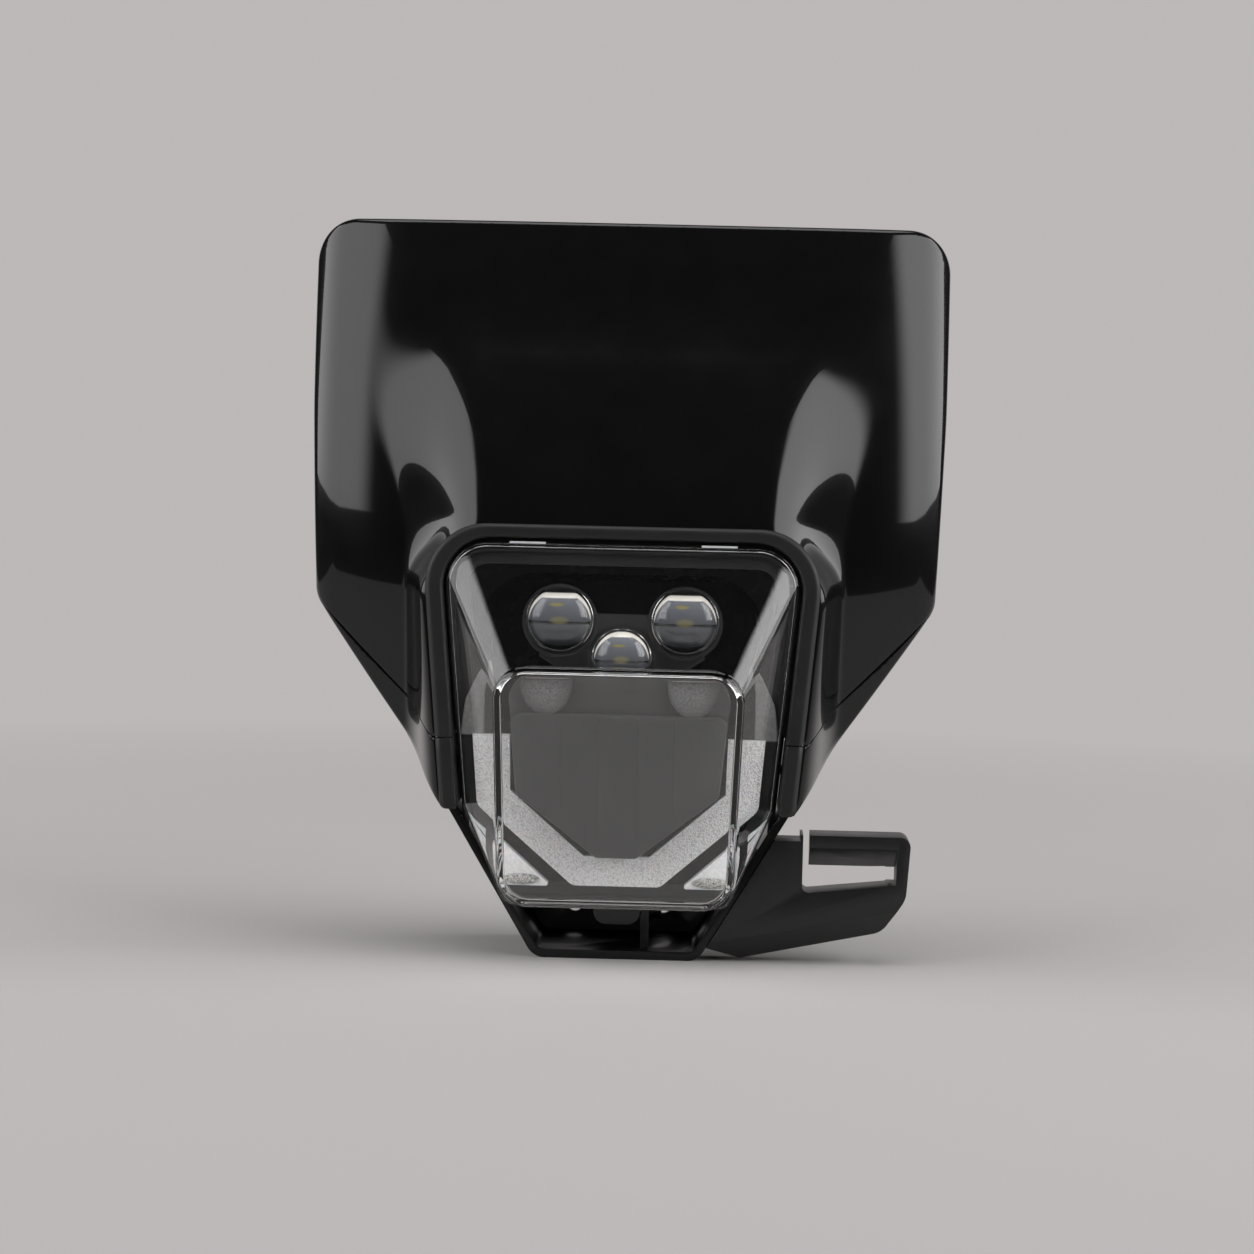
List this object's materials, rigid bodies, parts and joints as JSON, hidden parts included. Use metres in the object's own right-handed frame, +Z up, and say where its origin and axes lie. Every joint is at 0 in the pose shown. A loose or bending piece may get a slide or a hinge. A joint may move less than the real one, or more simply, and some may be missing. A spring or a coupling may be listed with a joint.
{
  "type": "motorcycle headlight mask",
  "caption": "Black enduro headlight mask with a number-plate front, swept wings, a clear stepped LED lamp that tilts, a lower frame and a hose guide.",
  "frame": {"origin": "under the middle of the mask, on the surface that the lower frame stands on", "axes": "+X to the right seen from the front, +Y from the lens back to the forks, +Z up"},
  "size_m": [0.2554, 0.1158, 0.29],
  "materials": {
    "shell_gloss": "gloss black moulding",
    "surround_matte": "fine matte grain",
    "cheek_satin": "satin black moulding",
    "frame_gloss": "gloss black moulding",
    "guide_satin": "satin grain",
    "lens_clear": "clear polycarbonate, hard coated",
    "seal_rubber": "matte",
    "housing_black": "matte black moulding",
    "bezel_black": "gloss black",
    "carrier_grey": "satin grey",
    "eye_glass": "clear aspheric lens",
    "board_dark": "solder mask",
    "chip_yellow": "phosphor",
    "panel_grey": "satin dark grey",
    "bar_frosted": "frosted, fine pebbled face",
    "reflector_bright": "metallised, faceted",
    "corner_white": "bright metallised",
    "sink_aluminium": "die cast, bead blasted",
    "screw_steel": "zinc plated",
    "sleeve_steel": "zinc plated",
    "grommet_rubber": "matte",
    "socket_black": "matte",
    "pin_brass": "tinned blades"
  },
  "bodies": {
    "mask": {"front_shell": "shell_gloss", "lamp_surround": "surround_matte", "cheek_left": "cheek_satin", "cheek_right": "cheek_satin", "lower_frame": "frame_gloss", "hose_guide": "guide_satin", "surround_screws": "screw_steel", "frame_screws": "screw_steel", "hose_guide_screws": "screw_steel", "mount_grommets": "grommet_rubber", "mount_sleeves": "sleeve_steel", "pivot_screws": "screw_steel"},
    "lamp": {"lens_cover": "lens_clear", "lens_seal": "seal_rubber", "lamp_housing": "housing_black", "clamp_screw": "screw_steel", "clamp_washer": "sleeve_steel", "inner_bezel": "bezel_black", "lens_carrier": "carrier_grey", "projector_lens_left": "eye_glass", "projector_lens_right": "eye_glass", "projector_lens_centre": "eye_glass", "led_board": "board_dark", "led_chips": "chip_yellow", "shield_panel": "panel_grey", "light_bar": "bar_frosted", "light_bar_board": "board_dark", "reflector_cup_left": "reflector_bright", "reflector_cup_right": "reflector_bright", "corner_reflector_left": "corner_white", "corner_reflector_right": "corner_white", "heat_sink": "sink_aluminium", "heat_sink_screws": "screw_steel", "connector_socket": "socket_black", "connector_pins": "pin_brass", "vent_cap": "socket_black"}
  },
  "joints": [
    {"name": "lamp_tilt", "type": "hinge", "parent": "mask", "child": "lamp", "pos_m": [0, 0, 0.14], "axis": [1, 0, 0], "range_deg": [-2, 2]}
  ]
}
